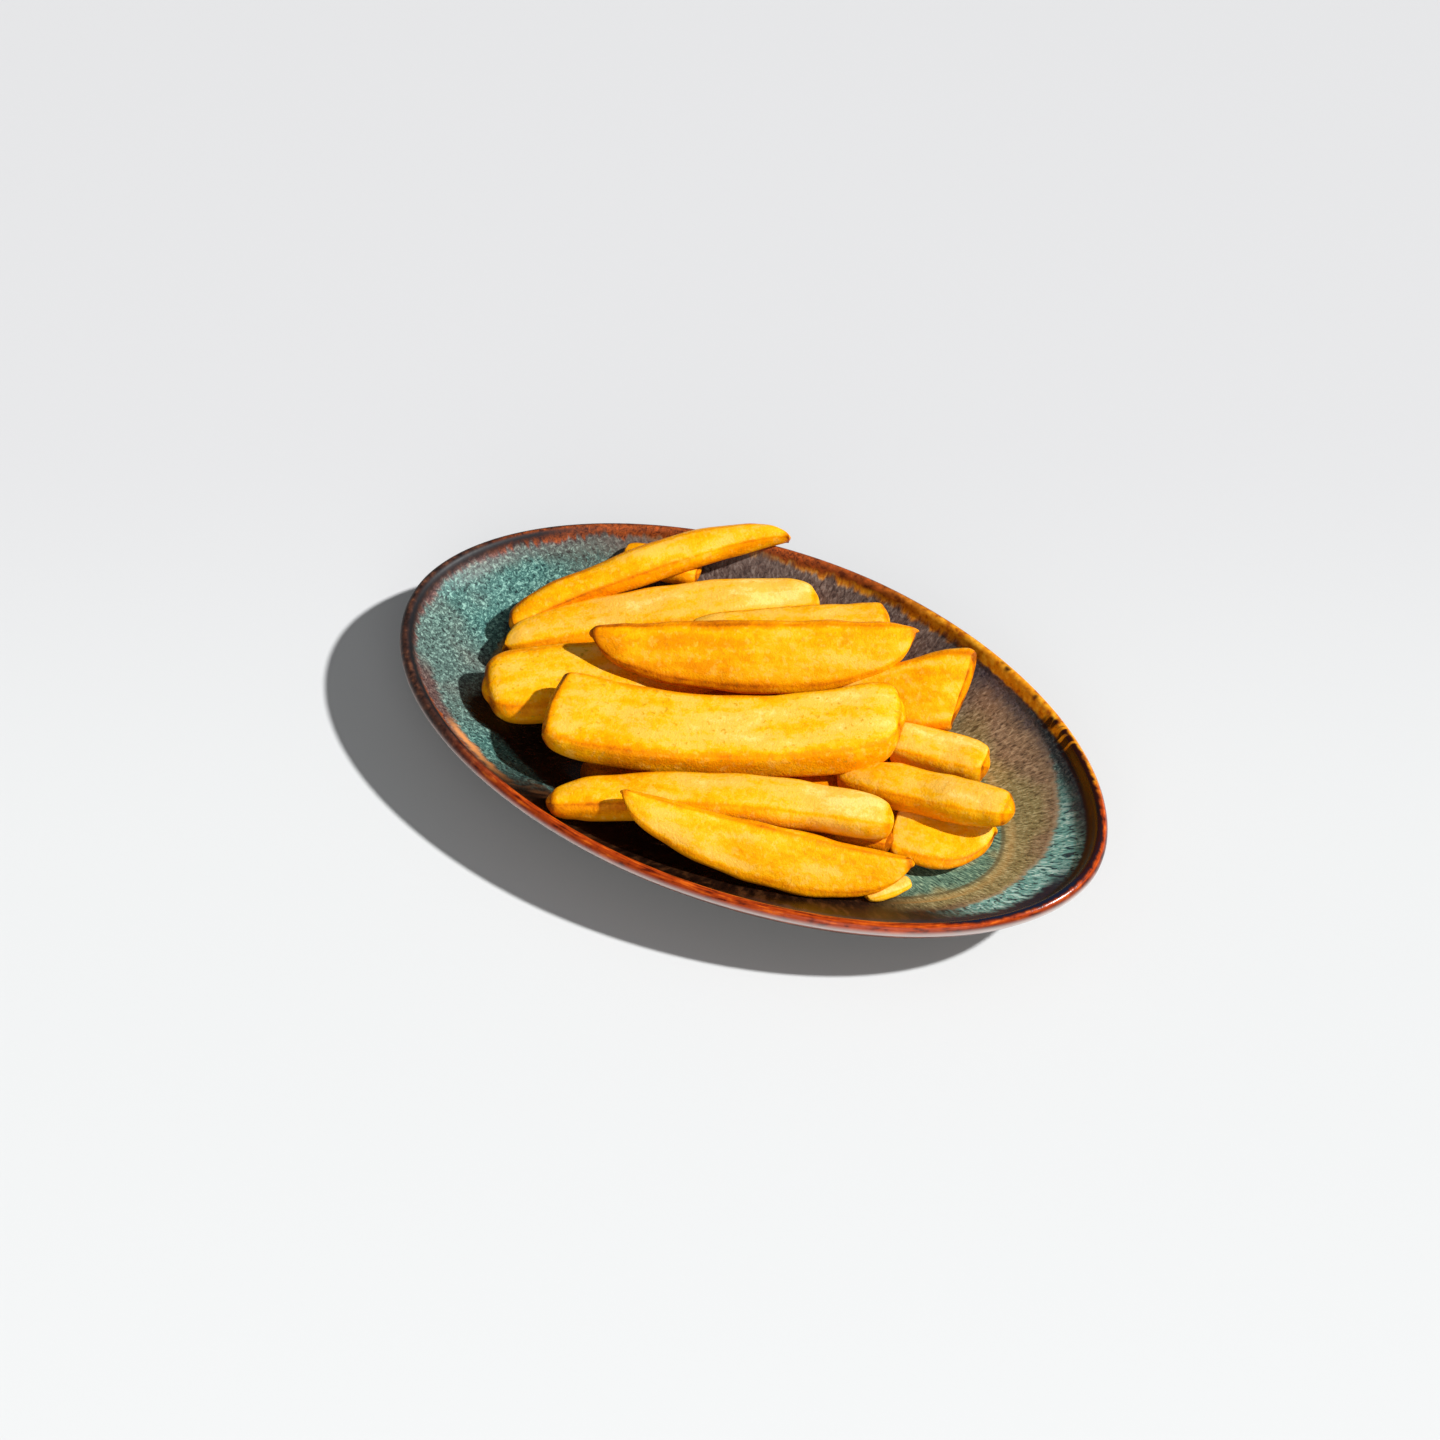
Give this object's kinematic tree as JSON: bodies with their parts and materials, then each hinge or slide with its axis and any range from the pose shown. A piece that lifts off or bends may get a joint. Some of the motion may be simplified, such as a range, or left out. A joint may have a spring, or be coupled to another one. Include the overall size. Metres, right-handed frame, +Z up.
{
  "type": "french fries portion",
  "caption": "Heap of thick-cut french fries on a long oval glazed stoneware plate with a flat well, a sloping wall, a rolled lip and a foot ring.",
  "frame": {"origin": "on the table, under the middle of the plate's outline", "axes": "+X along the plate's long axis, +Y across it towards the side where one fry leans over the rim, +Z up"},
  "size_m": [0.251, 0.1516, 0.0404],
  "materials": {
    "glaze": "glossy mottled glaze, turquoise in the dish and rust brown at the lip",
    "fried_potato": "satin golden crust, paler on the cut faces and browner at edges and tips"
  },
  "bodies": {
    "root": {"plate": "glaze", "fries": "fried_potato"}
  },
  "joints": []
}
